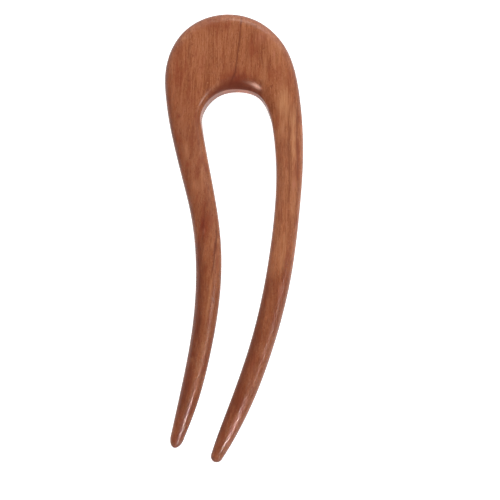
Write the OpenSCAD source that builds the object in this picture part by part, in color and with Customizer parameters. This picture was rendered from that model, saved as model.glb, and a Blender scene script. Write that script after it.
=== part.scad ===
// Two-prong hair fork, carved from one piece of wood.
// It lies face up: +X is to its right, +Y runs from the prong tips to the head, +Z is up.
// The origin is under the middle of the fork, on the surface that it rests on.

/* [Overall size] */
// Length from the crown of the head to the end of the longer prong
fork_length = 115; // [95:1:140]
// Width across the widest part of the head
fork_width = 35.4; // [30:0.1:44]

/* [Thickness] */
// Thickness of the head, from the back to the face
head_thick = 7; // [5.5:0.1:9]
// Height of the highest stretch of the prongs' backs above the surface
prong_rise = 4; // [0:0.1:8]

/* [Edges] */
// Width of the rounded edge, seen from the face
edge_width = 3; // [1:0.1:4]
// Depth of the rounded edge on the face
face_edge_depth = 2.2; // [1:0.1:2.6]
// Depth of the rounded edge on the back
back_edge_depth = 1.6; // [0.8:0.1:2.4]
// Width that the face rolls down over to the steep wall, where the arch is highest
wall_width = 4.5; // [2.4:0.1:6]
// Depth that the face rolls down there
wall_depth = 2.3; // [1:0.1:3.5]

/* [Fineness] */
// Rings from one section to the next
rings_per_section = 5; // [3:1:6]
// Steps round each edge of a ring
edge_steps = 6; // [4:1:7]
// Rings that round off each prong tip
tip_rings = 5; // [3:1:6]

/* [Hidden] */

WOOD = [0.6, 0.37, 0.26];

// Size of the fork that the section tables are drawn for
DRAWN_LENGTH = 115;
DRAWN_WIDTH = 35.4;
PLAN_SCALE = [fork_width / DRAWN_WIDTH, fork_length / DRAWN_LENGTH];

// A section runs straight across the wood, from the edge that faces the gap to the outer edge.
// Its columns: the inner edge's x and y, the outer edge's x and y, in mm,
// then the thickness as a share of the head's, how far the section is rounded towards an ellipse,
// how much of the arch's broad roll its inner edge has, how far the wall under that edge leans out
// in mm, and the share of the prongs' rise under its back.
IN_X = 0;
IN_Y = 1;
OUT_X = 2;
OUT_Y = 3;
THICK = 4;
ROUND = 5;
WALL = 6;
LEAN = 7;
LIFT = 8;

// Left prong, from its tip up to its root
LEFT_PRONG = [
    [-12.7, -51.1, -16.2, -50.3, 0.44, 1.00, 0, 0, 0.00],
    [ -8.9, -41.1, -13.9, -39.8, 0.61, 1.00, 0, 0, 0.36],
    [ -5.7, -28.0, -11.3, -27.0, 0.72, 0.90, 0, 0, 0.74],
    [ -3.6, -15.1,  -9.9, -14.7, 0.79, 0.70, 0, 0, 0.97],
    [ -3.2,  -3.0,  -9.9,  -3.2, 0.84, 0.50, 0, 0, 1.00],
    [ -4.4,   8.0, -11.2,   7.0, 0.89, 0.30, 0, 0, 0.80],
    [ -6.5,  19.3, -13.9,  17.7, 0.94, 0.15, 0, 0, 0.42],
];

// Head, from the left prong's root over the arch to the right prong's root
HEAD = [
    [ -8.0,  28.2, -16.3,  28.2, 0.98, 0.05, 0.00, 0.12, 0.12],
    [ -7.9,  31.5, -17.2,  34.9, 1.00, 0.00, 0.05, 0.45, 0.02],
    [ -6.2,  34.5, -17.5,  43.9, 1.00, 0.00, 0.25, 0.62, 0.00],
    [ -3.5,  36.6, -13.1,  52.9, 1.00, 0.00, 0.60, 0.68, 0.00],
    [ -0.3,  37.4,  -3.9,  57.3, 1.00, 0.00, 0.95, 0.75, 0.00],
    [  2.9,  37.3,   6.2,  55.7, 1.00, 0.00, 1.00, 0.70, 0.00],
    [  5.9,  36.3,  13.3,  48.9, 1.00, 0.00, 0.90, 0.60, 0.00],
    [  8.0,  33.9,  16.1,  40.6, 1.00, 0.00, 0.45, 0.35, 0.00],
    [  9.1,  31.1,  17.1,  33.9, 0.99, 0.00, 0.15, 0.15, 0.03],
    [  9.9,  28.2,  17.6,  28.2, 0.97, 0.05, 0.00, 0.00, 0.12],
];

// Right prong, from its root down to its tip
RIGHT_PRONG = [
    [ 10.8,  18.5,  17.7,  18.5, 0.93, 0.15, 0, 0, 0.40],
    [ 10.4,   7.5,  16.8,   7.1, 0.88, 0.30, 0, 0, 0.76],
    [  9.0,  -4.1,  15.4,  -5.1, 0.83, 0.50, 0, 0, 0.98],
    [  7.1, -14.9,  13.3, -16.2, 0.79, 0.70, 0, 0, 1.00],
    [  4.1, -27.0,   9.8, -28.7, 0.73, 0.90, 0, 0, 0.80],
    [ -0.1, -39.4,   5.1, -41.5, 0.65, 1.00, 0, 0, 0.43],
    [ -4.0, -49.7,   0.0, -51.6, 0.53, 1.00, 0, 0, 0.13],
    [ -5.8, -55.1,  -2.9, -56.4, 0.41, 1.00, 0, 0, 0.00],
];

// How far each prong runs on past its last section, round its tip
LEFT_TIP = 3.2;
RIGHT_TIP = 1.8;

// Exponents of an edge's superellipse: where the edge eases in from a flat face, and where the
// section is rounded towards an ellipse
EDGE_POWER = 2.5;
ROUND_POWER = 2;
// Exponent of the arch's roll: its depth grows with this power of the way across it
ROLL_POWER = 1.7;

// Largest share of a section's width and thickness that its two edges may take together
EDGE_SHARE = 0.94;

SECTIONS = concat(LEFT_PRONG, HEAD, RIGHT_PRONG);
LAST = len(SECTIONS) - 1;
RING_POINTS = 4 * (edge_steps + 1);

function mix(low, high, share) = low + (high - low) * share;

// Control rows of a cubic curve that passes smoothly along the sections
function control(i) =
    i < 0 ? 2 * SECTIONS[0] - control(1)
    : i > LAST ? 2 * SECTIONS[LAST] - control(LAST - 1)
    : i == 0 || i == LAST ? SECTIONS[i]
    : SECTIONS[i] - (SECTIONS[i - 1] - 2 * SECTIONS[i] + SECTIONS[i + 1]) / 6;
CONTROLS = [for (i = [-1:LAST + 1]) control(i)];

// The section at u, a number from 0 at the left tip to LAST at the right tip
function section(u) = let (
    i = min(floor(u), LAST - 1),
    f = u - i,
    weights = [pow(1 - f, 3), 3 * pow(f, 3) - 6 * f * f + 4, 1 + 3 * f + 3 * f * f - 3 * pow(f, 3), pow(f, 3)]
) (weights[0] * CONTROLS[i] + weights[1] * CONTROLS[i + 1]
    + weights[2] * CONTROLS[i + 2] + weights[3] * CONTROLS[i + 3]) / 6;

// A quarter of a superellipse, from the top of its depth round to the end of its width
function quarter(width, depth, power) = [
    for (k = [0:edge_steps]) let (turn = 90 * k / edge_steps)
        [width * pow(sin(turn), 2 / power), depth * pow(cos(turn), 2 / power)]
];

// The broad roll over the arch, from the face down to the edge of the steep wall
function roll(width, depth) = [
    for (k = [0:edge_steps]) let (reach = sin(90 * k / edge_steps))
        [width * reach, depth * (1 - pow(reach, ROLL_POWER))]
];

function reversed(list) = [for (k = [len(list) - 1:-1:0]) list[k]];

// Outline of a section as [distance outwards from its middle, height above its middle],
// round from the face's outer edge by the outer side, the back and the inner side to the face
function outline(half_w, half_t, rounding, wall, lean) = let (
    most_w = EDGE_SHARE * half_w,
    most_t = EDGE_SHARE * half_t,
    edge_w = mix(min(edge_width, most_w), most_w, rounding),
    face_t = mix(min(face_edge_depth, most_t), most_t, rounding),
    back_t = mix(min(back_edge_depth, most_t), most_t, rounding),
    roll_w = min(wall_width, 2 * half_w - edge_w),
    roll_t = min(wall_depth, EDGE_SHARE * (2 * half_t - back_t)),
    power = mix(EDGE_POWER, ROUND_POWER, rounding),
    face_edge = quarter(edge_w, face_t, power),
    back_edge = quarter(edge_w, back_t, power),
    inner_edge = mix(face_edge, roll(roll_w, roll_t), wall),
    inner_w = mix(edge_w, roll_w, wall),
    inner_t = mix(face_t, roll_t, wall)
) concat(
    [for (p = face_edge) [half_w - edge_w + p[0], half_t - face_t + p[1]]],
    [for (p = reversed(back_edge)) [half_w - edge_w + p[0], back_t - half_t - p[1]]],
    [for (p = back_edge) [edge_w - half_w - p[0], back_t - half_t - p[1]]],
    [for (p = reversed(inner_edge))
        [lean - half_w + (inner_w - p[0]) * (1 - lean / inner_w), half_t - inner_t + p[1]]]
);

// The smooth curve through the table may swing a little past 0 and 1, so the shares are held there
function held(share) = min(1, max(0, share));

// The ring of points round a section, shrunk about its middle and moved along the wood for a tip
function ring(row, shrink = 1, onwards = [0, 0]) = let (
    inner = [row[IN_X] * PLAN_SCALE[0], row[IN_Y] * PLAN_SCALE[1]],
    outer = [row[OUT_X] * PLAN_SCALE[0], row[OUT_Y] * PLAN_SCALE[1]],
    across = (outer - inner) / norm(outer - inner),
    middle = (inner + outer) / 2 + onwards,
    half_w = norm(outer - inner) / 2,
    half_t = head_thick * row[THICK] / 2,
    height = prong_rise * max(0, row[LIFT]) + half_t
) [
    for (p = outline(half_w, half_t, held(row[ROUND]), held(row[WALL]), max(0, row[LEAN])))
        concat(middle + shrink * p[0] * across, height + shrink * p[1])
];

// Middle of a section in plan, and the way that the wood runs out through a tip
function middle_of(row) = [
    (row[IN_X] + row[OUT_X]) / 2 * PLAN_SCALE[0],
    (row[IN_Y] + row[OUT_Y]) / 2 * PLAN_SCALE[1]
];
function way_out(tip, before) =
    let (way = middle_of(tip) - middle_of(before)) way / norm(way);

// Rings that close over a tip, from the last section outwards, as a quarter of an ellipse
function tip_cap(tip, before, reach) = [
    for (k = [1:tip_rings - 1]) let (turn = 90 * k / tip_rings)
        ring(tip, cos(turn), reach * sin(turn) * way_out(tip, before))
];
function tip_point(tip, before, reach) = concat(
    middle_of(tip) + reach * way_out(tip, before),
    prong_rise * max(0, tip[LIFT]) + head_thick * tip[THICK] / 2
);

BODY_RINGS = [for (k = [0:LAST * rings_per_section]) ring(section(k / rings_per_section))];
RINGS = concat(
    reversed(tip_cap(SECTIONS[0], SECTIONS[1], LEFT_TIP)),
    BODY_RINGS,
    tip_cap(SECTIONS[LAST], SECTIONS[LAST - 1], RIGHT_TIP)
);

// One closed skin: a strip of triangles between each ring and the next, and a fan at each tip
module skin(rings, first_point, last_point) {
    n = RING_POINTS;
    first = len(rings) * n;
    last = first + 1;
    end = (len(rings) - 1) * n;
    points = concat([for (r = rings) each r], [first_point, last_point]);
    strips = [
        for (r = [0:len(rings) - 2], k = [0:n - 1])
            let (a = r * n + k, b = r * n + (k + 1) % n)
                each [[a, b, b + n], [a, b + n, a + n]]
    ];
    first_fan = [for (k = [0:n - 1]) [first, (k + 1) % n, k]];
    last_fan = [for (k = [0:n - 1]) [last, end + k, end + (k + 1) % n]];
    polyhedron(points, concat(strips, first_fan, last_fan), convexity = 6);
}

module hair_fork() {
    color(WOOD)
        skin(
            RINGS,
            tip_point(SECTIONS[0], SECTIONS[1], LEFT_TIP),
            tip_point(SECTIONS[LAST], SECTIONS[LAST - 1], RIGHT_TIP)
        );
}

hair_fork();
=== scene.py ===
import math

import bpy
import numpy as np
from mathutils import Matrix


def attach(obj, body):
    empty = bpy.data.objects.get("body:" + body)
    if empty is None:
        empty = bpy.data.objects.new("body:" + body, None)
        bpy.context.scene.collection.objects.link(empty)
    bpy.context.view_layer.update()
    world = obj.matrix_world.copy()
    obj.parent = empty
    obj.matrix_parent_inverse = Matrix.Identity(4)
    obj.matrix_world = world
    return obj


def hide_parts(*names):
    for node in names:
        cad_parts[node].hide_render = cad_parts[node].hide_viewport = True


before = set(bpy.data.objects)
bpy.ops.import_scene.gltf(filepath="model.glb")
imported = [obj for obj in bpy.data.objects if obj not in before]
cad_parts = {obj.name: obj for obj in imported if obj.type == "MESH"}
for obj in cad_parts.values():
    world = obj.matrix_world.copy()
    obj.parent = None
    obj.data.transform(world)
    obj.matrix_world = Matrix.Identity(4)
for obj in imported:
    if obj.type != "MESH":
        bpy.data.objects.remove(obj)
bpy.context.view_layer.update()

# All shape sizes are in millimetres, in the fork's own frame: it lies face up, its right is +X
# and its head points to +Y. MM turns them into metres.
MM = 0.001

# The fork's sections, each straight across the wood. Columns: the inner edge's x and y, the outer
# edge's x and y, the thickness as a share of the head's, how far the section is rounded towards
# an ellipse, how much of the arch's broad roll its inner edge has, how far the wall under that
# edge leans out in mm, and the share of the prongs' rise under its back.
IN_X, IN_Y, OUT_X, OUT_Y, THICK, ROUND, WALL, LEAN, LIFT = range(9)
LEFT_PRONG = [
    [-12.7, -51.1, -16.2, -50.3, 0.44, 1.00, 0, 0, 0.00],
    [-8.9, -41.1, -13.9, -39.8, 0.61, 1.00, 0, 0, 0.36],
    [-5.7, -28.0, -11.3, -27.0, 0.72, 0.90, 0, 0, 0.74],
    [-3.6, -15.1, -9.9, -14.7, 0.79, 0.70, 0, 0, 0.97],
    [-3.2, -3.0, -9.9, -3.2, 0.84, 0.50, 0, 0, 1.00],
    [-4.4, 8.0, -11.2, 7.0, 0.89, 0.30, 0, 0, 0.80],
    [-6.5, 19.3, -13.9, 17.7, 0.94, 0.15, 0, 0, 0.42],
]
HEAD = [
    [-8.0, 28.2, -16.3, 28.2, 0.98, 0.05, 0.00, 0.12, 0.12],
    [-7.9, 31.5, -17.2, 34.9, 1.00, 0.00, 0.05, 0.45, 0.02],
    [-6.2, 34.5, -17.5, 43.9, 1.00, 0.00, 0.25, 0.62, 0.00],
    [-3.5, 36.6, -13.1, 52.9, 1.00, 0.00, 0.60, 0.68, 0.00],
    [-0.3, 37.4, -3.9, 57.3, 1.00, 0.00, 0.95, 0.75, 0.00],
    [2.9, 37.3, 6.2, 55.7, 1.00, 0.00, 1.00, 0.70, 0.00],
    [5.9, 36.3, 13.3, 48.9, 1.00, 0.00, 0.90, 0.60, 0.00],
    [8.0, 33.9, 16.1, 40.6, 1.00, 0.00, 0.45, 0.35, 0.00],
    [9.1, 31.1, 17.1, 33.9, 0.99, 0.00, 0.15, 0.15, 0.03],
    [9.9, 28.2, 17.6, 28.2, 0.97, 0.05, 0.00, 0.00, 0.12],
]
RIGHT_PRONG = [
    [10.8, 18.5, 17.7, 18.5, 0.93, 0.15, 0, 0, 0.40],
    [10.4, 7.5, 16.8, 7.1, 0.88, 0.30, 0, 0, 0.76],
    [9.0, -4.1, 15.4, -5.1, 0.83, 0.50, 0, 0, 0.98],
    [7.1, -14.9, 13.3, -16.2, 0.79, 0.70, 0, 0, 1.00],
    [4.1, -27.0, 9.8, -28.7, 0.73, 0.90, 0, 0, 0.80],
    [-0.1, -39.4, 5.1, -41.5, 0.65, 1.00, 0, 0, 0.43],
    [-4.0, -49.7, 0.0, -51.6, 0.53, 1.00, 0, 0, 0.13],
    [-5.8, -55.1, -2.9, -56.4, 0.41, 1.00, 0, 0, 0.00],
]
SECTIONS = np.array(LEFT_PRONG + HEAD + RIGHT_PRONG)

HEAD_THICK = 7.0
PRONG_RISE = 4.0
EDGE_WIDTH = 3.0
FACE_EDGE_DEPTH = 2.2
BACK_EDGE_DEPTH = 1.6
WALL_WIDTH = 4.5
WALL_DEPTH = 2.3
EDGE_POWER = 2.5
ROUND_POWER = 2.0
ROLL_POWER = 1.7
EDGE_SHARE = 0.94
LEFT_TIP = 3.2
RIGHT_TIP = 1.8

# Fineness of the skin
RINGS_PER_SECTION = 25
EDGE_STEPS = 14
FLAT_STEPS = 16
SIDE_STEPS = 5
TIP_RINGS = 16


def mix(low, high, share):
    return low + (high - low) * share


def fork_sections(u):
    """Rows of the section table at u, on a uniform cubic B-spline whose control rows are each
    table row less a sixth of its second difference, so that the curve passes by the rows."""
    rows = SECTIONS
    control = rows.copy()
    control[1:-1] = rows[1:-1] - (rows[:-2] - 2 * rows[1:-1] + rows[2:]) / 6
    first = 2 * control[0] - control[1]
    last = 2 * control[-1] - control[-2]
    control = np.vstack([first, control, last])
    i = np.minimum(np.floor(u).astype(int), len(rows) - 2)
    f = (u - i)[:, None]
    weights = [
        (1 - f) ** 3,
        3 * f**3 - 6 * f**2 + 4,
        1 + 3 * f + 3 * f**2 - 3 * f**3,
        f**3,
    ]
    return sum(weights[k] * control[i + k] for k in range(4)) / 6


def corner(width, depth, power):
    """Quarter of a superellipse for each section: (width * sin(t)^(2/power),
    depth * cos(t)^(2/power)), with t from 0 to 90 degrees along the second axis."""
    t = np.linspace(0, math.pi / 2, EDGE_STEPS + 1)[None, :]
    bend = 2 / power
    sine = np.sin(t)
    cosine = np.clip(np.cos(t), 0, 1)
    return width * sine**bend, depth * cosine**bend


def between(start, end, steps):
    """Points strictly between two columns of values, evenly spaced, one row for each section."""
    share = np.arange(1, steps + 1)[None, :] / (steps + 1)
    return mix(start, end, share)


def roll(width, depth):
    """The broad roll over the arch for each section: (width * reach, depth * (1 - reach^1.7)),
    where reach is sin(t) with t from 0 to 90 degrees along the second axis."""
    reach = np.sin(np.linspace(0, math.pi / 2, EDGE_STEPS + 1))[None, :]
    return width * reach, depth * (1 - reach**ROLL_POWER)


def fork_outlines(rows):
    """Outline of every section as distance outwards s and height z from its middle. It runs round
    four corners joined by straight runs: face to outer side, outer side to back, back to inner
    side, and the inner side, which on the arch is a steep wall under a broad roll, to the face."""
    span_x, span_y = rows[:, OUT_X] - rows[:, IN_X], rows[:, OUT_Y] - rows[:, IN_Y]
    half_w = np.hypot(span_x, span_y)[:, None] / 2
    half_t = HEAD_THICK * rows[:, THICK, None] / 2
    rounding = np.clip(rows[:, ROUND, None], 0, 1)
    wall = np.clip(rows[:, WALL, None], 0, 1)
    lean = np.maximum(0, rows[:, LEAN, None])
    most_w = EDGE_SHARE * half_w
    most_t = EDGE_SHARE * half_t
    edge_w = mix(np.minimum(EDGE_WIDTH, most_w), most_w, rounding)
    face_t = mix(np.minimum(FACE_EDGE_DEPTH, most_t), most_t, rounding)
    back_t = mix(np.minimum(BACK_EDGE_DEPTH, most_t), most_t, rounding)
    roll_w = np.minimum(WALL_WIDTH, 2 * half_w - edge_w)
    roll_t = np.minimum(WALL_DEPTH, EDGE_SHARE * (2 * half_t - back_t))

    power = mix(EDGE_POWER, ROUND_POWER, rounding)
    fw, ft = corner(edge_w, face_t, power)
    bw, bt = corner(edge_w, back_t, power)
    rw, rt = roll(roll_w, roll_t)
    iw, it = mix(fw, rw, wall)[:, ::-1], mix(ft, rt, wall)[:, ::-1]
    inner_w, inner_t = mix(edge_w, roll_w, wall), mix(face_t, roll_t, wall)
    face_outer = (half_w - edge_w + fw, half_t - face_t + ft)
    back_outer = (half_w - edge_w + bw[:, ::-1], back_t - half_t - bt[:, ::-1])
    back_inner = (edge_w - half_w - bw, back_t - half_t - bt)
    face_inner = (lean - half_w + (inner_w - iw) * (1 - lean / inner_w), half_t - inner_t + it)
    runs = [face_outer, back_outer, back_inner, face_inner]
    steps = [SIDE_STEPS, FLAT_STEPS, SIDE_STEPS, FLAT_STEPS]
    parts_s, parts_z = [], []
    for k, (s, z) in enumerate(runs):
        next_s, next_z = runs[(k + 1) % 4]
        parts_s += [s, between(s[:, -1:], next_s[:, :1], steps[k])]
        parts_z += [z, between(z[:, -1:], next_z[:, :1], steps[k])]
    return np.hstack(parts_s), np.hstack(parts_z)


def way_out(tip, before):
    """Middle of the end section, and the unit direction that the wood runs out in through it."""
    middle = (tip[:IN_Y + 1] + tip[OUT_X:OUT_Y + 1]) / 2
    way = middle - (before[:IN_Y + 1] + before[OUT_X:OUT_Y + 1]) / 2
    return way / np.hypot(*way)


def fork_skin():
    """Points of the fork's skin as a grid, a row for each ring from the left tip round the arch to
    the right tip, and the two points that close the tips. A ring is its section's outline set
    across the wood. A tip is the end ring shrunk by cos(t) and moved on by reach * sin(t)."""
    last = len(SECTIONS) - 1
    u = np.linspace(0, last, last * RINGS_PER_SECTION + 1)
    turn = np.linspace(0, math.pi / 2, TIP_RINGS + 1)[1:-1]
    at_left = np.zeros(len(turn))
    u_all = np.concatenate([at_left, u, at_left + last])
    shrink = np.concatenate([np.cos(turn)[::-1], np.ones(len(u)), np.cos(turn)])[:, None]
    left_way = way_out(SECTIONS[0], SECTIONS[1])
    right_way = way_out(SECTIONS[-1], SECTIONS[-2])
    shift = np.zeros((len(u_all), 2))
    shift[: len(turn)] = LEFT_TIP * np.sin(turn)[::-1, None] * left_way
    shift[-len(turn) :] = RIGHT_TIP * np.sin(turn)[:, None] * right_way

    rows = fork_sections(u_all)
    inner, outer = rows[:, [IN_X, IN_Y]], rows[:, [OUT_X, OUT_Y]]
    span = outer - inner
    across = span / np.hypot(span[:, 0], span[:, 1])[:, None]
    middle = (inner + outer) / 2 + shift
    s, z = fork_outlines(rows)
    height = PRONG_RISE * np.maximum(0, rows[:, LIFT, None]) + HEAD_THICK * rows[:, THICK, None] / 2
    x = middle[:, 0:1] + shrink * s * across[:, 0:1]
    y = middle[:, 1:2] + shrink * s * across[:, 1:2]
    z = height + shrink * z
    grid = np.stack([x, y, z], axis=-1)

    ends = []
    for k, way, reach in ((0, left_way, LEFT_TIP), (-1, right_way, RIGHT_TIP)):
        tip_middle = (inner[k] + outer[k]) / 2 + reach * way
        ends.append([tip_middle[0], tip_middle[1], height[k, 0]])
    return grid, np.array(ends)


def skin_mesh(name, grid, ends):
    """Closed mesh over a grid of rings: a quad for each cell, wrapped round the ring, and a fan of
    triangles from each end point to the ring next to it."""
    rings, count = grid.shape[:2]
    points = np.vstack([grid.reshape(-1, 3), ends]) * MM
    ring = np.arange(rings - 1)[:, None] * count
    k = np.arange(count)[None, :]
    k_next = (k + 1) % count
    quads = np.stack([ring + k, ring + count + k, ring + count + k_next, ring + k_next], axis=-1)
    quads = quads.reshape(-1, 4)
    k, k_next = k.ravel(), k_next.ravel()
    left_end = rings * count
    right_end = left_end + 1
    end_ring = (rings - 1) * count
    left_fan = np.stack([np.full(count, left_end), k, k_next], axis=-1)
    right_fan = np.stack([np.full(count, right_end), end_ring + k_next, end_ring + k], axis=-1)
    corners = np.concatenate([quads.ravel(), left_fan.ravel(), right_fan.ravel()])
    sizes = np.concatenate([np.full(len(quads), 4), np.full(2 * count, 3)])
    starts = np.concatenate([[0], np.cumsum(sizes)[:-1]])

    mesh = bpy.data.meshes.new(name)
    mesh.vertices.add(len(points))
    mesh.vertices.foreach_set("co", points.ravel())
    mesh.loops.add(len(corners))
    mesh.loops.foreach_set("vertex_index", corners)
    mesh.polygons.add(len(sizes))
    mesh.polygons.foreach_set("loop_start", starts)
    mesh.polygons.foreach_set("use_smooth", np.ones(len(sizes), bool))
    mesh.update(calc_edges=True)
    mesh.validate()
    return mesh


class Recipe:
    """A node tree written step by step: each method adds one node and gives back its output."""

    def __init__(self, tree):
        self.tree = tree

    def node(self, kind, inputs=None, **settings):
        made = self.tree.nodes.new(kind)
        for name, value in settings.items():
            setattr(made, name, value)
        for key, value in (inputs or {}).items():
            self.put(made.inputs[key], value)
        return made

    def put(self, socket, value):
        if isinstance(value, bpy.types.NodeSocket):
            self.tree.links.new(value, socket)
        else:
            socket.default_value = value

    def work_out(self, operation, *values, clamp=False):
        inputs = dict(enumerate(values))
        return self.node("ShaderNodeMath", inputs, operation=operation, use_clamp=clamp).outputs[0]

    def add(self, a, b):
        return self.work_out("ADD", a, b)

    def less(self, a, b):
        return self.work_out("SUBTRACT", a, b)

    def times(self, a, b):
        return self.work_out("MULTIPLY", a, b)

    def over(self, a, b):
        return self.work_out("DIVIDE", a, b)

    def most(self, a, b):
        return self.work_out("MAXIMUM", a, b)

    def rise(self, value, low, high, start=0.0, end=1.0):
        """Smooth step from start at low to end at high."""
        inputs = {"Value": value, "From Min": low, "From Max": high, "To Min": start, "To Max": end}
        made = self.node("ShaderNodeMapRange", inputs, interpolation_type="SMOOTHSTEP")
        return made.outputs["Result"]

    def fall(self, value, low, high):
        """Smooth step from 1 at low to 0 at high."""
        return self.rise(value, low, high, 1.0, 0.0)

    def noise(self, place, detail):
        inputs = {"Vector": place, "Scale": 1.0, "Detail": detail}
        return self.node("ShaderNodeTexNoise", inputs).outputs["Fac"]

    def point(self, x, y, z):
        return self.node("ShaderNodeCombineXYZ", {"X": x, "Y": y, "Z": z}).outputs["Vector"]

    def parts(self, vector):
        made = self.node("ShaderNodeSeparateXYZ", {"Vector": vector})
        return made.outputs["X"], made.outputs["Y"], made.outputs["Z"]

    def stretched(self, vector, x, y, z):
        """The vector with each of its parts multiplied."""
        parts = self.parts(vector)
        return self.point(*(self.times(part, by) for part, by in zip(parts, (x, y, z))))

    def blend(self, share, first, second):
        made = self.node("ShaderNodeMix", data_type="RGBA")
        self.put(made.inputs[0], share)
        self.put(made.inputs[6], first)
        self.put(made.inputs[7], second)
        return made.outputs[2]

    def use(self, group, inputs):
        return self.node("ShaderNodeGroup", inputs, node_tree=group).outputs


def new_group(name, inputs, outputs):
    """Node group with float sockets for the named values, and a vector socket called Place."""
    group = bpy.data.node_groups.new(name, "ShaderNodeTree")
    for label, value in inputs.items():
        kind = "NodeSocketVector" if label == "Place" else "NodeSocketFloat"
        socket = group.interface.new_socket(label, in_out="INPUT", socket_type=kind)
        if label != "Place":
            socket.default_value = value
    for label in outputs:
        group.interface.new_socket(label, in_out="OUTPUT", socket_type="NodeSocketFloat")
    recipe = Recipe(group)
    given = group.nodes.new("NodeGroupInput").outputs
    result = group.nodes.new("NodeGroupOutput").inputs
    return group, recipe, given, result


# Run of the grain, in mm. Below FLOW_TOP the fibres lean to the left by FLOW_LEAN for each mm down,
# less by LEAN_CHANGE for each mm to the right, and bow; all over they wander a little.
FLOW_TOP = 10.0
FLOW_LEAN = 0.06
LEAN_CHANGE = 0.003
FLOW_BOW = -0.0006
FLOW_WANDER = 2.4
FLOW_NOISE = (0.12, 0.035, 0.12)
DEPTH_LEAN = 0.15


def grain_flow_group():
    """Where a point lies in the grain: across the fibres, along them and in depth, in mm."""
    group, r, given, result = new_group("grain flow", {"Place": None}, ["Across", "Along", "Depth"])
    x, y, z = r.parts(given["Place"])
    below = r.less(y, FLOW_TOP)
    lean = r.less(FLOW_LEAN, r.times(x, LEAN_CHANGE))
    bow = r.times(r.times(below, below), FLOW_BOW)
    shift = r.add(r.times(lean, below), bow)
    wander = r.noise(r.stretched(given["Place"], *FLOW_NOISE), 1.0)
    wander = r.times(r.less(wander, 0.5), FLOW_WANDER)
    r.put(result["Across"], r.add(r.less(x, shift), wander))
    r.put(result["Along"], y)
    r.put(result["Depth"], r.add(z, r.times(x, DEPTH_LEAN)))
    return group


def streak_group():
    """Streaks of a given width and length along the grain, as a value from 0 to 1."""
    inputs = dict.fromkeys(["Across", "Along", "Depth", "Width", "Length", "Detail"], 1.0)
    group, r, given, result = new_group("streaks", inputs, ["Value"])
    across = r.over(given["Across"], given["Width"])
    along = r.over(given["Along"], given["Length"])
    depth = r.over(given["Depth"], given["Width"])
    r.put(result["Value"], r.noise(r.point(across, along, depth), given["Detail"]))
    return group


def vein_group():
    """Mask of a vein: a line at X where y is Y, leaning by Slope and bending by Bow, with a given
    half width, that fades in and out at Low and High over Fade. Sizes in mm."""
    inputs = {
        "Place": None,
        "X": 0.0,
        "Y": 0.0,
        "Slope": 0.0,
        "Bow": 0.0,
        "Half width": 0.3,
        "Low": -10.0,
        "High": 10.0,
        "Fade": 2.0,
    }
    group, r, given, result = new_group("vein", inputs, ["Mask"])
    x, y, _ = r.parts(given["Place"])
    rise = r.less(y, given["Y"])
    bend = r.times(given["Bow"], r.times(rise, rise))
    line = r.add(given["X"], r.add(r.times(given["Slope"], rise), bend))
    away = r.work_out("ABSOLUTE", r.less(x, line))
    side = r.fall(away, 0.0, given["Half width"])
    low_end = r.rise(y, given["Low"], r.add(given["Low"], given["Fade"]))
    high_end = r.rise(y, given["High"], r.less(given["High"], given["Fade"]))
    r.put(result["Mask"], r.times(side, r.times(low_end, high_end)))
    return group


def patch_group():
    """Mask of a soft oval patch at X, Y, with its half width, half height and lean, in mm."""
    inputs = {
        "Place": None,
        "X": 0.0,
        "Y": 0.0,
        "Half width": 1.0,
        "Half height": 2.0,
        "Lean": 0.0,
    }
    group, r, given, result = new_group("patch", inputs, ["Mask"])
    x, y, _ = r.parts(given["Place"])
    rise = r.less(y, given["Y"])
    side = r.less(r.less(x, given["X"]), r.times(given["Lean"], rise))
    side = r.over(side, given["Half width"])
    rise = r.over(rise, given["Half height"])
    reach = r.work_out("SQRT", r.add(r.times(side, side), r.times(rise, rise)))
    r.put(result["Mask"], r.fall(reach, 0.0, 1.0))
    return group


# Tones of the wood, as linear colours
MID_TONE = (0.247, 0.0815, 0.0330, 1)
PALE_TONE = (0.343, 0.134, 0.062, 1)
DEEP_TONE = (0.160, 0.042, 0.0165, 1)
RED_TONE = (0.180, 0.035, 0.014, 1)
# Dark veins, and painted shade on the edges near the tips
VEIN_AND_SHADE_TONE = (0.095, 0.022, 0.010, 1)
HEART_TONE = (0.120, 0.015, 0.007, 1)
SHADE_TONE = (0.140, 0.035, 0.014, 1)
OCHRE_TONE = (0.410, 0.190, 0.090, 1)
PINK_TONE = (0.380, 0.140, 0.085, 1)
# End grain on the arch's roll, darkened partly as painted shade
END_GRAIN_AND_SHADE_TONE = (0.132, 0.028, 0.012, 1)
# Painted reflection of the floor on the steep wall under the arch
PAINTED_FLOOR_REFLECTION_TONE = (0.460, 0.200, 0.130, 1)

# Veins and bands of this piece of wood, some rows partly painted shade or highlight, in mm: x and y
# of a point on the vein, slope and bow there, half width, lower and upper end, length of the fade
# at the ends, and strength.
DARK_VEINS = [
    (1.41, 49.9, 0.091, -0.0052, 0.32, 41.0, 58.5, 1.5, 0.85),
    (-11.3, 48.5, 0.05, 0.0, 0.50, 44.4, 52.6, 2.5, 0.30),
    (-4.70, -2.3, 0.066, -0.0094, 0.36, -11.0, 4.0, 2.0, 0.80),
    (-7.90, 0.5, 0.03, 0.0, 0.45, -3.0, 8.0, 2.5, 0.60),
    (-9.10, -23.0, 0.12, 0.0, 0.50, -26.5, -19.5, 2.0, 0.60),
    (14.00, 20.0, 0.0, 0.0, 0.35, 8.0, 32.5, 3.0, 0.55),
    (16.15, 20.0, 0.0, -0.0008, 0.42, 8.0, 35.0, 3.0, 0.55),
    # Dark line along the outer left edge of the left prong and the head: painted shade
    (-13.90, 17.7, -0.24, 0.0013, 1.10, 0.0, 38.0, 7.0, 0.75),
    (-0.60, 40.4, 0.41, 0.0, 0.50, 37.6, 44.0, 1.5, 0.85),
]
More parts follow.
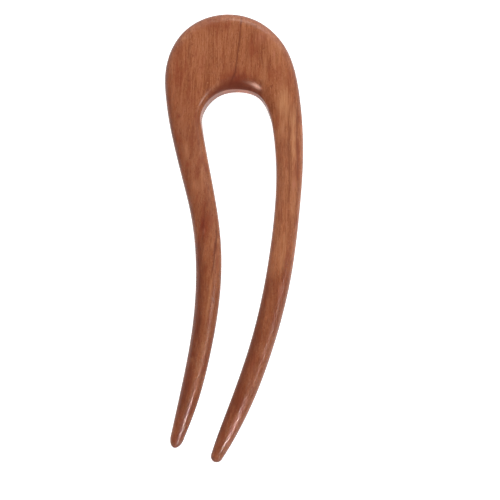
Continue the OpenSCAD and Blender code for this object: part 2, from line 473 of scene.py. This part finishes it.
# Bands that darken the left parts of the prongs and the head's left edge, and in the last two rows
# the prongs all over: partly darker wood, partly painted shade
DARK_BANDS = [
    (-9.20, -9.0, 0.0, -0.0042, 3.20, -54.0, 8.0, 14.0, 1.10),
    (-12.80, 17.7, -0.24, 0.0013, 6.00, -2.0, 46.0, 16.0, 0.55),
    (4.70, -27.0, 0.294, -0.0042, 3.00, -64.0, 0.0, 16.0, 0.95),
    (-17.0, 34.0, 0.0, -0.0060, 2.20, 14.0, 50.0, 8.0, 0.60),
    (-7.00, -9.0, 0.0, -0.0050, 14.0, -80.0, 46.0, 20.0, 0.43),
    (6.50, -27.0, 0.294, -0.0042, 12.0, -90.0, 0.0, 16.0, 0.54),
]
PALE_VEINS = [
    (15.20, 24.0, 0.0, 0.0, 1.25, 17.0, 36.0, 5.0, 0.90),
    (15.00, 10.0, 0.0, 0.0, 1.10, 3.0, 20.0, 5.0, 0.50),
    (12.00, 35.0, 0.0, 0.0, 0.40, 30.5, 39.0, 2.0, 0.55),
    (12.90, 35.0, 0.0, 0.0, 0.40, 30.5, 39.5, 2.0, 0.65),
    (13.60, 36.0, 0.0, 0.0, 0.35, 31.5, 40.0, 2.0, 0.45),
    (12.80, -2.0, 0.10, -0.0040, 1.20, -10.0, 4.0, 4.0, 0.60),
    (-8.10, 15.6, -0.02, 0.0, 0.40, 11.0, 20.0, 3.0, 0.40),
    # This and the next lighten the left prong along its sheen: partly paler wood, partly painted
    # highlight
    (-6.50, -15.9, 0.137, 0.0, 0.60, -24.0, -7.0, 3.0, 0.45),
    (-8.20, -30.0, 0.20, -0.0040, 1.40, -44.0, -20.0, 8.0, 0.35),
    (12.50, 20.0, 0.05, -0.0020, 5.00, -14.0, 44.0, 12.0, 0.25),
    (7.60, 38.0, 0.03, 0.0, 1.30, 28.0, 50.0, 8.0, 0.35),
]
# Patches of this piece of wood, a few partly painted highlight or glint, in mm: x and y, half
# width, half height, lean, and strength.
DARK_PATCHES = [
    (-8.2, 3.3, 0.70, 2.4, 0.0, 0.80),
    (-14.1, 31.5, 0.90, 1.2, 0.0, 0.60),
    (-9.3, 10.8, 0.50, 1.4, 0.0, 0.45),
    (-7.1, 18.2, 0.50, 2.4, -0.20, 0.50),
    (2.9, 42.3, 0.60, 1.0, 0.0, 0.35),
    # Darkens where the face turns down into the arch's roll: partly dark wood, partly painted shade
    (-1.6, 40.0, 3.60, 2.8, 0.0, 0.40),
    (0.5, 43.4, 3.50, 2.6, 0.0, 0.30),
]
RED_PATCHES = [
    (1.0, 40.9, 5.0, 3.0, 0.0, 1.05),
    (-5.5, 54.6, 6.5, 2.4, 0.0, 0.55),
    (-14.6, 47.5, 2.2, 6.0, 0.1, 0.40),
    (-2.5, 43.5, 1.0, 3.0, 0.1, 0.35),
    (11.1, 50.6, 0.8, 0.9, 0.0, 0.55),
    (-14.1, 25.2, 1.1, 3.2, -0.2, 0.55),
    (-11.8, 19.3, 0.8, 1.0, 0.0, 0.60),
    (-7.7, 2.6, 1.5, 6.0, 0.02, 0.95),
    (-4.1, -5.5, 0.6, 3.6, 0.06, 0.70),
    (11.7, 6.1, 0.7, 2.6, 0.0, 0.55),
]
PALE_PATCHES = [
    # Partly paler wood, partly a painted highlight on the head's upper right edge
    (9.6, 49.5, 3.6, 6.5, -0.55, 0.22),
    (12.9, 34.5, 2.6, 7.0, -0.10, 0.85),
    (12.5, 29.4, 0.9, 4.0, 0.0, 0.65),
    (-12.7, 51.1, 0.8, 0.8, 0.0, 0.60),
    (-9.6, 14.2, 1.1, 2.4, 0.0, 0.40),
    (-12.1, 22.5, 0.9, 3.2, -0.2, 0.40),
    (-5.5, -1.2, 0.6, 1.3, 0.0, 0.60),
    (-4.2, -1.0, 0.5, 0.9, 0.0, 0.60),
    # A painted glint in the left prong's sheen
    (-6.3, -15.3, 0.4, 0.4, 0.0, 0.80),
    # A painted glint on the face beside the arch's left side
    (-6.7, 39.9, 0.3, 0.3, 0.0, 0.90),
]
PINK_PATCHES = [
    (10.4, 47.4, 0.6, 2.0, 0.0, 0.50),
    (15.1, 13.0, 0.7, 1.7, 0.0, 0.55),
    (11.9, -13.3, 1.0, 3.4, 0.15, 0.50),
    (7.5, 52.0, 3.5, 4.0, 0.0, 0.35),
    (-7.8, 1.5, 0.5, 1.4, 0.0, 0.60),
    (0.6, -47.0, 1.3, 9.0, 0.42, 0.60),
]
VEIN_SOCKETS = ["X", "Y", "Slope", "Bow", "Half width", "Low", "High", "Fade"]
PATCH_SOCKETS = ["X", "Y", "Half width", "Half height", "Lean"]

# Layers of the grain: width and length of their streaks in mm, detail, and the noise values at
# which a layer starts and is full.
GRAIN_LAYERS = {
    "clouds": (5.5, 19.0, 1.0, 0.34, 0.66),
    "red clouds": (1.8, 6.5, 2.0, 0.48, 0.68),
    "bands": (1.25, 17.0, 2.0, 0.36, 0.64),
    "lines": (0.45, 15.0, 1.0, 0.36, 0.64),
    "fibres": (0.38, 3.6, 2.0, 0.34, 0.66),
    "hairs": (0.21, 1.6, 2.0, 0.30, 0.70),
    "flecks": (0.28, 0.55, 1.0, 0.56, 0.76),
    "pores": (0.19, 0.7, 1.0, 0.58, 0.74),
}
# How far each layer lightens the wood, or darkens it, and how far it stands up, or sinks in
LIGHTNESS_SHARES = {
    "clouds": 0.28,
    "bands": 0.18,
    "lines": 0.20,
    "fibres": 0.26,
    "hairs": 0.26,
    "flecks": 0.34,
    "pores": -0.52,
}
RELIEF_SHARES = {"fibres": 0.4, "hairs": 0.25, "pores": -0.9, "flecks": 0.6}
RELIEF_HEIGHT = 0.00005
RED_SHARE = 0.45

# How far the veins' and patches' edges waver, in mm, and how far the fibres break them up
WAVER = 1.3
WAVER_ALONG = 3.0
WAVER_NOISE = (0.30, 0.10, 0.30)
BREAK_UP = 0.45

# End grain, and painted shade and light on the edges: ranges in mm, or of how far the surface faces
# up, and the tones' shares
ARCH_PATCH = {"X": 1.0, "Y": 34.0, "Half width": 16.0, "Half height": 12.0}
ARCH_FADE = 0.35
END_GRAIN_AND_SHADE_FACING = (0.28, 0.60)
END_GRAIN_AND_SHADE_SHARE = 0.85
WALL_FACING = (0.30, 0.55)
WALL_REFLECTION_X = (3.0, 8.0)
WALL_REFLECTION_LEAST = 0.2
HEAD_Y = (26.0, 38.0)
HEAD_RIM_SHADE_FACING = (0.45, 0.93)
HEAD_RIM_SHADE_SHARE = 0.95
TIP_Y = (-54.0, -40.0)
TIP_RIM_SHADE_FACING = (0.10, 0.75)
TIP_RIM_SHADE_SHARE = 0.70

# Sheen: the hairs change it, and the roll over the arch is smoother
SHINY, SATIN = 0.17, 0.26
ROLL_FACING = (0.90, 0.99)
ROLL_SHINIER = 0.02
ROLL_RELIEF = 0.2
OIL_IOR = 1.5


def grain_layers(r, place):
    """The layers of the grain by name, each a value from 0 to 1 at every point."""
    flow = r.use(grain_flow_group(), {"Place": place})
    streaks = streak_group()
    layers = {}
    for name, (width, length, detail, low, high) in GRAIN_LAYERS.items():
        inputs = {label: flow[label] for label in ("Across", "Along", "Depth")}
        inputs.update({"Width": width, "Length": length, "Detail": detail})
        layers[name] = r.rise(r.use(streaks, inputs)["Value"], low, high)
    return layers


def grain_colour(r, layers):
    """Colour of the plain grain, from deep through mid to pale, with red clouds in it."""
    lightness = 0.5
    for name, share in LIGHTNESS_SHARES.items():
        lightness = r.add(lightness, r.times(r.less(layers[name], 0.5), share))
    to_mid = r.work_out("MULTIPLY", lightness, 2.0, clamp=True)
    to_pale = r.work_out("MULTIPLY_ADD", lightness, 2.0, -1.0, clamp=True)
    colour = r.blend(to_mid, DEEP_TONE, MID_TONE)
    colour = r.blend(to_pale, colour, PALE_TONE)
    return r.blend(r.times(layers["red clouds"], RED_SHARE), colour, RED_TONE)


def with_figure(r, place, layers, colour, patch):
    """The colour with this piece's veins and patches over it, a few of them partly painted shade,
    highlight or glint. Each kind takes the highest of its masks at each point, the fibres break
    them up, and a slow noise makes their edges waver."""
    waver = r.noise(r.stretched(place, *WAVER_NOISE), 3.0)
    waver = r.times(r.less(waver, 0.5), WAVER)
    x, y, z = r.parts(place)
    moved = r.point(r.add(x, waver), r.add(y, r.times(waver, WAVER_ALONG)), z)
    broken = r.add(1 - BREAK_UP, r.times(layers["fibres"], BREAK_UP))
    vein = vein_group()
    kinds = [
        (vein, VEIN_SOCKETS, DARK_BANDS, SHADE_TONE),
        (vein, VEIN_SOCKETS, PALE_VEINS, OCHRE_TONE),
        (patch, PATCH_SOCKETS, RED_PATCHES, RED_TONE),
        (patch, PATCH_SOCKETS, PALE_PATCHES, OCHRE_TONE),
        (patch, PATCH_SOCKETS, PINK_PATCHES, PINK_TONE),
        (patch, PATCH_SOCKETS, DARK_PATCHES, HEART_TONE),
        (vein, VEIN_SOCKETS, DARK_VEINS, VEIN_AND_SHADE_TONE),
    ]
    for group, sockets, rows, tone in kinds:
        highest = 0.0
        for row in rows:
            inputs = {**dict(zip(sockets, row)), "Place": moved}
            highest = r.most(r.times(r.use(group, inputs)["Mask"], row[-1]), highest)
        colour = r.blend(r.times(highest, broken), colour, tone)
    return colour


def with_end_grain_and_painted_light(r, place, facing, in_arch, colour):
    """The colour with the arch's end grain and with painted shade and light on the edges over it.
    The roll over the arch shows end grain, which takes up more oil and is darker, and is darkened
    further as painted shade. The steep wall under it gets a pale painted reflection of the floor,
    fading towards the right. The head's outer edge and the edges near the tips get painted shade."""
    x, y, _ = r.parts(place)
    _, to_top, up = facing
    # Darker on the arch's down-facing roll: end grain, and painted shade
    end_grain_and_shade = r.times(r.rise(r.less(0.0, to_top), *END_GRAIN_AND_SHADE_FACING), in_arch)
    # Pale painted reflection of the floor on the arch's steep wall, fading to the right
    wall = r.times(r.fall(up, *WALL_FACING), in_arch)
    wall = r.times(wall, r.rise(x, *WALL_REFLECTION_X, 1.0, WALL_REFLECTION_LEAST))
    on_head = r.times(r.rise(y, *HEAD_Y), r.less(1.0, in_arch))
    # Painted shade on the head's rolled outer edge
    painted_head_shade = r.times(r.fall(up, *HEAD_RIM_SHADE_FACING), on_head)
    # Painted shade on the rolled edges near the tips
    painted_tip_shade = r.times(r.fall(up, *TIP_RIM_SHADE_FACING), r.fall(y, *TIP_Y))
    colour = r.blend(r.times(end_grain_and_shade, END_GRAIN_AND_SHADE_SHARE), colour, END_GRAIN_AND_SHADE_TONE)
    colour = r.blend(wall, colour, PAINTED_FLOOR_REFLECTION_TONE)
    colour = r.blend(r.times(painted_head_shade, HEAD_RIM_SHADE_SHARE), colour, DEEP_TONE)
    return r.blend(r.times(painted_tip_shade, TIP_RIM_SHADE_SHARE), colour, VEIN_AND_SHADE_TONE)


def wood_material():
    """The fork's oiled wood: soft bands and fibre streaks along the grain, short dark pores, the
    veins and patches of this piece of wood, some partly painted shade or highlight, painted shade
    and light on the edges, and a satin sheen broken up by the fibres."""
    wood = bpy.data.materials.new("oiled wood")
    wood.use_nodes = True
    tree = wood.node_tree
    tree.nodes.clear()
    r = Recipe(tree)
    coordinates = r.node("ShaderNodeTexCoord")
    in_mm = {0: coordinates.outputs["Object"], 3: 1 / MM}
    place = r.node("ShaderNodeVectorMath", in_mm, operation="SCALE").outputs[0]
    facing = r.parts(coordinates.outputs["Normal"])
    patch = patch_group()
    arch_mask = r.use(patch, {"Place": place, **ARCH_PATCH})["Mask"]
    in_arch = r.rise(arch_mask, 0.0, ARCH_FADE)

    layers = grain_layers(r, place)
    colour = grain_colour(r, layers)
    colour = with_figure(r, place, layers, colour, patch)
    colour = with_end_grain_and_painted_light(r, place, facing, in_arch, colour)

    on_roll = r.times(r.fall(facing[2], *ROLL_FACING), in_arch)
    relief = 0.0
    for name, share in RELIEF_SHARES.items():
        relief = r.add(relief, r.times(layers[name], share))
    relief = r.times(relief, r.rise(on_roll, 0.0, 1.0, 1.0, ROLL_RELIEF))
    bump = r.node("ShaderNodeBump", {"Height": relief, "Strength": 1.0, "Distance": RELIEF_HEIGHT})
    roughness = r.rise(layers["hairs"], 0.0, 1.0, SHINY, SATIN)
    roughness = r.less(roughness, r.times(on_roll, ROLL_SHINIER))

    finish = r.node("ShaderNodeBsdfPrincipled")
    r.put(finish.inputs["Base Color"], colour)
    r.put(finish.inputs["Roughness"], roughness)
    r.put(finish.inputs["Normal"], bump.outputs["Normal"])
    finish.inputs["IOR"].default_value = OIL_IOR
    output = r.node("ShaderNodeOutputMaterial")
    tree.links.new(finish.outputs["BSDF"], output.inputs["Surface"])
    return wood


def make_fork():
    """The whole fork as one piece of wood."""
    grid, ends = fork_skin()
    mesh = skin_mesh("fork_wood", grid, ends)
    mesh.materials.append(wood_material())
    fork = bpy.data.objects.new("fork_wood", mesh)
    bpy.context.scene.collection.objects.link(fork)
    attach(fork, "root")
    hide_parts("hair_fork")


# Stage and camera, in metres
FLOOR_HALF = 3.0
FLOOR_DROP = 0.0001
VIEW_CENTRE = (0.0041, -0.00295)
VIEW_WIDTH = 0.12806
FACE_HEIGHT = 0.0045
CAMERA_DISTANCE = 1.2
SENSOR_WIDTH = 36.0
NEAR_END, FAR_END = 0.1, 10.0

# Floor and sky: the wood's sheen mirrors the floor brighter, and the sky darker, than the light
# that they throw on the wood.
WHITE = (1, 1, 1, 1)
FLOOR_SHADE = (0.55, 0.55, 0.55, 1)
FLOOR_MIRRORED = (0.95, 0.95, 0.95, 1)
FLOOR_MIRRORED_GLOW = 0.25
SKY_TOP = 1.55
SKY_RIGHT = 0.38
SKY_EVEN = 0.22
SKY_OVERHEAD = (0.88, 0.98)
SKY_OVERHEAD_SHARE = 0.35
SKY_MIRRORED_LOSS = 0.5
WALL_SEEN = 0.95

# Lights: distance and aims in metres, and tints
LIGHT_DISTANCE = 0.55
ARCH_AIM = (0, 0.035)
STRIP_AIM = (0.040, -0.075)
NEAR_WHITE = (1, 0.99, 0.98)
PALE_PINK = (1, 0.93, 0.90)
PEACH = (1, 0.84, 0.76)
ORANGE = (1, 0.62, 0.50)


def make_floor():
    """Plain pale floor. The camera sees it as clean white, the wood's sheen mirrors it almost as
    bright, and the light that it throws back on the wood is softer."""
    mesh = bpy.data.meshes.new("floor")
    h = FLOOR_HALF
    z = -FLOOR_DROP
    mesh.from_pydata([(-h, -h, z), (h, -h, z), (h, h, z), (-h, h, z)], [], [(0, 1, 2, 3)])
    material = bpy.data.materials.new("pale floor")
    material.use_nodes = True
    tree = material.node_tree
    tree.nodes.clear()
    r = Recipe(tree)
    path = r.node("ShaderNodeLightPath")
    seen, mirrored = path.outputs["Is Camera Ray"], path.outputs["Is Glossy Ray"]
    tone = r.blend(mirrored, FLOOR_SHADE, FLOOR_MIRRORED)
    paper = r.node("ShaderNodeBsdfDiffuse", {"Color": tone})
    strength = r.add(seen, r.times(mirrored, FLOOR_MIRRORED_GLOW))
    glow = r.node("ShaderNodeEmission", {"Color": WHITE, "Strength": strength})
    both = r.node("ShaderNodeAddShader", {0: paper.outputs[0], 1: glow.outputs[0]})
    output = r.node("ShaderNodeOutputMaterial")
    tree.links.new(both.outputs[0], output.inputs["Surface"])
    mesh.materials.append(material)
    floor = bpy.data.objects.new("floor", mesh)
    bpy.context.scene.collection.objects.link(floor)


def make_light(name, azimuth, elevation, size, power, tint, roll=0.0, beam=180.0, aim=(0, 0)):
    """Rectangular light of a given width and height, at LIGHT_DISTANCE from the point on the floor
    that it aims at. Azimuth 0 is towards +X and 90 towards +Y, roll turns the rectangle round the
    way that it shines, and beam is the angle that its light spreads over, all in degrees."""
    data = bpy.data.lights.new(name, "AREA")
    data.shape = "RECTANGLE"
    data.size, data.size_y = size
    data.energy = power
    data.color = tint
    data.spread = math.radians(beam)
    lamp = bpy.data.objects.new(name, data)
    a, e, turn = math.radians(azimuth), math.radians(elevation), math.radians(roll)
    away = np.array([math.cos(a) * math.cos(e), math.sin(a) * math.cos(e), math.sin(e)])
    level = np.cross([0, 0, 1], away)
    level = level / np.linalg.norm(level)
    side = level * math.cos(turn) + np.cross(away, level) * math.sin(turn)
    axes = np.eye(4)
    axes[:3, 0] = side
    axes[:3, 1] = np.cross(away, side)
    axes[:3, 2] = away
    axes[:3, 3] = away * LIGHT_DISTANCE + np.array([*aim, 0])
    lamp.matrix_world = Matrix(axes.tolist())
    bpy.context.scene.collection.objects.link(lamp)
    return lamp


def make_lights():
    """A soft key at the upper right and a low light at the right, both without a reflection, and
    three cards that the wood's sheen mirrors. The streaks down the lower prongs come from a strip
    with a narrow beam, which lights nothing else and doesn't lighten the wood's colour."""
    key = make_light("key", 62, 26, (0.55, 0.50), 2.15, NEAR_WHITE)
    low_right = make_light("low right", -38, 10, (0.40, 0.12), 0.80, NEAR_WHITE)
    key.visible_glossy = False
    low_right.visible_glossy = False
    make_light("upper right card", 72, 42, (0.16, 0.20), 0.75, PEACH)
    make_light("right card", -26, 46, (0.16, 0.05), 0.29, PALE_PINK, roll=20)
    card = (-118, 26.6, (0.28, 0.15), 0.080, ORANGE)
    make_light("arch card", *card, roll=8, beam=30, aim=ARCH_AIM)
    narrow = (-68, 49, (0.13, 0.016), 0.020, PALE_PINK)
    strip = make_light("strip", *narrow, roll=-45, beam=13, aim=STRIP_AIM)
    strip.visible_diffuse = False


def make_sky():
    """Sky that is bright at the head's end and a little at the right, and dim straight above. The
    camera sees it as a plain pale wall."""
    world = bpy.data.worlds.new("studio")
    world.use_nodes = True
    tree = world.node_tree
    tree.nodes.clear()
    r = Recipe(tree)
    to_right, to_top, up = r.parts(r.node("ShaderNodeTexCoord").outputs["Generated"])
    from_top = r.times(r.most(to_top, 0.0), SKY_TOP)
    from_right = r.times(r.most(to_right, 0.0), SKY_RIGHT)
    lightness = r.add(r.add(from_top, from_right), SKY_EVEN)
    lightness = r.times(lightness, r.rise(up, *SKY_OVERHEAD, 1.0, SKY_OVERHEAD_SHARE))
    path = r.node("ShaderNodeLightPath")
    seen, mirrored = path.outputs["Is Camera Ray"], path.outputs["Is Glossy Ray"]
    lightness = r.times(lightness, r.less(1.0, r.times(mirrored, SKY_MIRRORED_LOSS)))
    around = r.node("ShaderNodeBackground", {"Color": WHITE, "Strength": lightness})
    wall = r.node("ShaderNodeBackground", {"Color": WHITE, "Strength": WALL_SEEN})
    shown = r.node("ShaderNodeMixShader", {0: seen, 1: around.outputs[0], 2: wall.outputs[0]})
    output = r.node("ShaderNodeOutputWorld")
    tree.links.new(shown.outputs[0], output.inputs["Surface"])
    bpy.context.scene.world = world


def make_camera():
    """Camera straight above the fork, with its head at the top of the picture."""
    data = bpy.data.cameras.new("camera")
    data.sensor_width = SENSOR_WIDTH
    data.lens = SENSOR_WIDTH * CAMERA_DISTANCE / VIEW_WIDTH
    data.clip_start = NEAR_END
    data.clip_end = FAR_END
    camera = bpy.data.objects.new("camera", data)
    camera.location = (*VIEW_CENTRE, FACE_HEIGHT + CAMERA_DISTANCE)
    bpy.context.scene.collection.objects.link(camera)
    bpy.context.scene.camera = camera


bpy.context.scene.view_settings.view_transform = "Standard"
make_camera()
make_fork()
make_floor()
make_lights()
make_sky()
